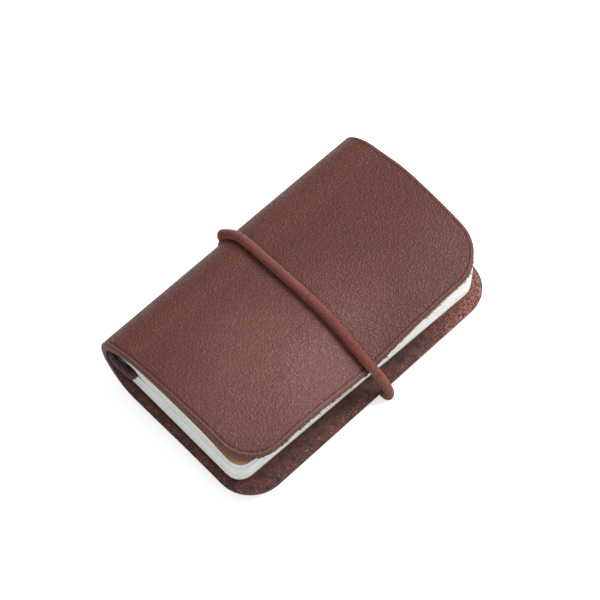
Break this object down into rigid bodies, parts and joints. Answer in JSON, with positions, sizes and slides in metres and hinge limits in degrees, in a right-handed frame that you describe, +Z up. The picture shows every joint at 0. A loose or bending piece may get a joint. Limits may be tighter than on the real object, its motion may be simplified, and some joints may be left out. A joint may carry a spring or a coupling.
{
  "type": "pocket notebook",
  "caption": "Mini pocket notebook: a thick leather wrap cover round one sewn booklet, held by a binding elastic and closed by an elastic loop.",
  "frame": {"origin": "under the middle of the closed notebook, on the surface that it lies on", "axes": "+X from the spine to the fore edge, +Y from the tail to the head along the spine, +Z up through the front cover"},
  "size_m": [0.0578, 0.0824, 0.0217],
  "materials": {
    "leather": "smooth full-grain, waxed",
    "paper": "uncoated",
    "kraft": "uncoated kraft",
    "cord": "round braided elastic",
    "binding_cord": "round braided elastic, dark",
    "thread": "waxed linen"
  },
  "bodies": {
    "root": {"back_cover": "leather", "closure_elastic_back": "cord"},
    "spine": {"spine_strip": "leather", "front_crease": "leather", "back_crease": "leather", "closure_elastic_spine": "cord", "closure_knot": "cord", "binding_knots": "binding_cord", "binding_tail": "binding_cord", "binding_head": "binding_cord"},
    "front_cover": {"front_cover": "leather"},
    "booklet": {"kraft_back": "kraft", "leaves_back_1": "paper", "leaves_back_2": "paper", "kraft_fold": "kraft", "leaf_fold_1": "paper", "leaf_fold_2": "paper", "leaf_fold_3": "paper", "leaf_fold_4": "paper", "binding_core": "binding_cord", "sewing_thread": "thread"},
    "leaves_front_1": {"kraft_front": "kraft", "leaves_front_1": "paper"},
    "leaves_front_2": {"leaves_front_2": "paper"},
    "leaves_front_3": {"leaves_front_3": "paper"},
    "leaves_front_4": {"leaves_front_4": "paper"},
    "leaves_back_3": {"leaves_back_3": "paper"},
    "leaves_back_4": {"leaves_back_4": "paper"},
    "closure_front": {"closure_elastic_front": "cord"}
  },
  "joints": [
    {"name": "back_crease_fold", "type": "hinge", "parent": "root", "child": "spine", "pos_m": [-0.0234, 0, 0.00495], "axis": [0, -1, 0], "range_deg": [0, 90], "deforming": ["back_crease", "closure_elastic_spine"]},
    {"name": "front_crease_fold", "type": "hinge", "parent": "spine", "child": "front_cover", "pos_m": [-0.0234, 0, 0.01675], "axis": [0, -1, 0], "range_deg": [0, 90], "deforming": ["front_crease"]},
    {"name": "booklet_swing", "type": "hinge", "parent": "spine", "child": "booklet", "pos_m": [-0.0164, 0, 0.00985], "axis": [0, 1, 0], "range_deg": [0, 92.7], "deforming": ["binding_tail", "binding_head", "sewing_thread"]},
    {"name": "leaves_front_1_turn", "type": "hinge", "parent": "booklet", "child": "leaves_front_1", "pos_m": [-0.0174, 0, 0.01085], "axis": [-0.0262, -0.9997, 0], "range_deg": [0, 177.3], "deforming": ["leaf_fold_1", "kraft_fold"]},
    {"name": "leaves_front_2_turn", "type": "hinge", "parent": "booklet", "child": "leaves_front_2", "pos_m": [-0.0174, 0, 0.01085], "axis": [-0.0262, -0.9997, 0], "range_deg": [0, 173.7], "deforming": ["leaf_fold_2"]},
    {"name": "leaves_front_3_turn", "type": "hinge", "parent": "booklet", "child": "leaves_front_3", "pos_m": [-0.0174, 0, 0.01085], "axis": [-0.0262, -0.9997, 0], "range_deg": [0, 169.2], "deforming": ["leaf_fold_3"]},
    {"name": "leaves_front_4_turn", "type": "hinge", "parent": "booklet", "child": "leaves_front_4", "pos_m": [-0.0174, 0, 0.01085], "axis": [-0.0262, -0.9997, 0], "range_deg": [0, 163.8], "deforming": ["leaf_fold_4"]},
    {"name": "leaves_back_3_lift", "type": "hinge", "parent": "booklet", "child": "leaves_back_3", "pos_m": [-0.0174, 0, 0.01085], "axis": [-0.0262, -0.9997, 0], "range_deg": [0, 4.5]},
    {"name": "leaves_back_4_lift", "type": "hinge", "parent": "booklet", "child": "leaves_back_4", "pos_m": [-0.0174, 0, 0.01085], "axis": [-0.0262, -0.9997, 0], "range_deg": [0, 9.9]},
    {"name": "closure_release", "type": "hinge", "parent": "root", "child": "closure_front", "pos_m": [0, 0.00225, 0.01085], "axis": [0.9997, 0.0251, 0], "range_deg": [0, 180], "deforming": ["closure_elastic_front"]}
  ],
  "couplings": [
    {"joint": "front_crease_fold", "follows": "back_crease_fold", "ratio": 1},
    {"joint": "booklet_swing", "follows": "back_crease_fold", "ratio": 1.03},
    {"joint": "leaves_front_1_turn", "follows": "back_crease_fold", "ratio": 1.97},
    {"joint": "leaves_front_2_turn", "follows": "back_crease_fold", "ratio": 1.93},
    {"joint": "leaves_front_3_turn", "follows": "back_crease_fold", "ratio": 1.88},
    {"joint": "leaves_front_4_turn", "follows": "back_crease_fold", "ratio": 1.82},
    {"joint": "leaves_back_3_lift", "follows": "back_crease_fold", "ratio": 0.05},
    {"joint": "leaves_back_4_lift", "follows": "back_crease_fold", "ratio": 0.11},
    {"joint": "closure_release", "follows": "back_crease_fold", "ratio": 2}
  ]
}
